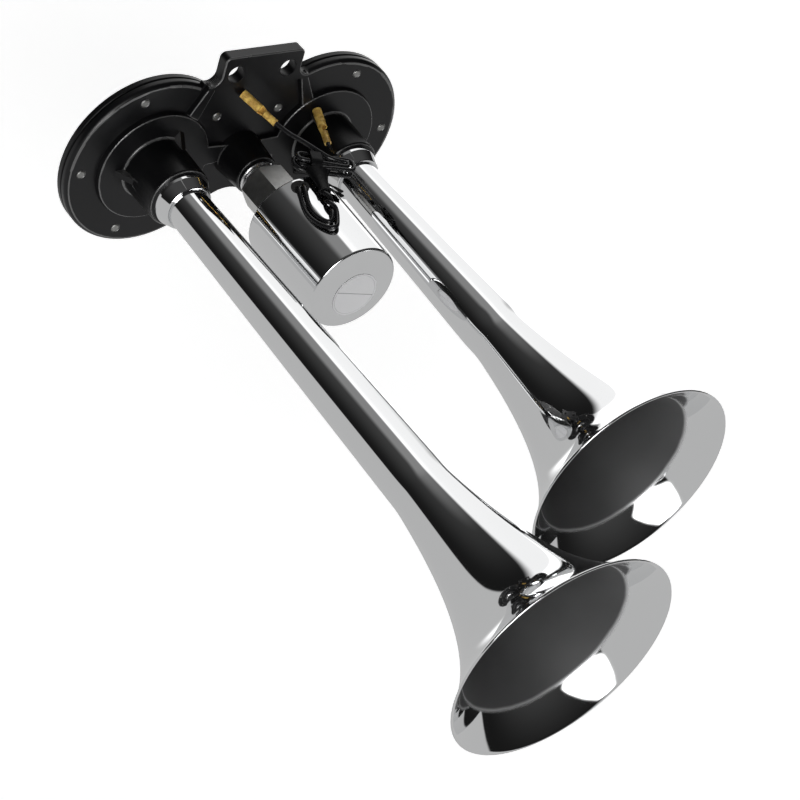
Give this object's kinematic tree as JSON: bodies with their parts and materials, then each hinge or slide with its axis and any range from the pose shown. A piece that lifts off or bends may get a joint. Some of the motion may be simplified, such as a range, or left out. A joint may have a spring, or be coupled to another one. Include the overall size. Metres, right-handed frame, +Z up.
{
  "type": "car air horn",
  "caption": "Electro-pneumatic horn: a long and a short chrome trumpet on a black twin-flange casting with a bolt-on bracket, and a screw-in solenoid valve with two wires.",
  "frame": {"origin": "midway between the two bolt holes, on the rear face of the bracket", "axes": "+Z up from the trumpets to the bracket, -Y along the trumpets to the bells, +X to the short trumpet's side"},
  "size_m": [0.2005, 0.3456, 0.1104],
  "materials": {
    "housing_black": "satin black paint on a casting",
    "chrome": "bright chrome plate",
    "hex_steel": "brushed grey metal",
    "screw_zinc": "dull zinc plate",
    "spring_steel": "plain spring steel",
    "core_steel": "plain magnetic steel",
    "seal_rubber": "matte black rubber",
    "gasket_fibre": "pressed fibre",
    "bobbin_plastic": "moulded nylon",
    "copper_winding": "varnished copper wire",
    "wire_black": "soft black PVC",
    "tie_black": "matte black plastic",
    "terminal_brass": "bright rolled brass"
  },
  "bodies": {
    "horn": {"can_plate": "core_steel", "coil_bobbin": "bobbin_plastic", "coil_winding": "copper_winding", "fixed_core": "core_steel", "front_housing": "housing_black", "guide_o_ring": "seal_rubber", "guide_tube": "spring_steel", "hank_tie": "tie_black", "lead_a_end": "wire_black", "lead_a_root": "wire_black", "lead_b_end": "wire_black", "lead_b_root": "wire_black", "lead_grommet": "seal_rubber", "lead_hank": "wire_black", "long_collar": "chrome", "long_cover_screws": "screw_zinc", "long_diaphragm": "spring_steel", "long_gasket": "gasket_fibre", "long_rear_cover": "housing_black", "long_trumpet": "chrome", "long_tube_seal": "seal_rubber", "return_spring": "spring_steel", "short_collar": "chrome", "short_cover_screws": "screw_zinc", "short_diaphragm": "spring_steel", "short_gasket": "gasket_fibre", "short_rear_cover": "housing_black", "short_trumpet": "chrome", "short_tube_seal": "seal_rubber", "terminal_a": "terminal_brass", "terminal_b": "terminal_brass", "valve_body": "hex_steel", "valve_can": "chrome"},
    "plunger": {"valve_plunger": "core_steel", "plunger_seal": "seal_rubber"}
  },
  "joints": [
    {"name": "plunger_slide", "type": "slide", "parent": "horn", "child": "plunger", "axis": [0, -1, 0], "range_m": [0, 0.0018], "stiffness_N_per_m": 500, "springref_m": -0.008, "deforming": ["return_spring"]}
  ]
}
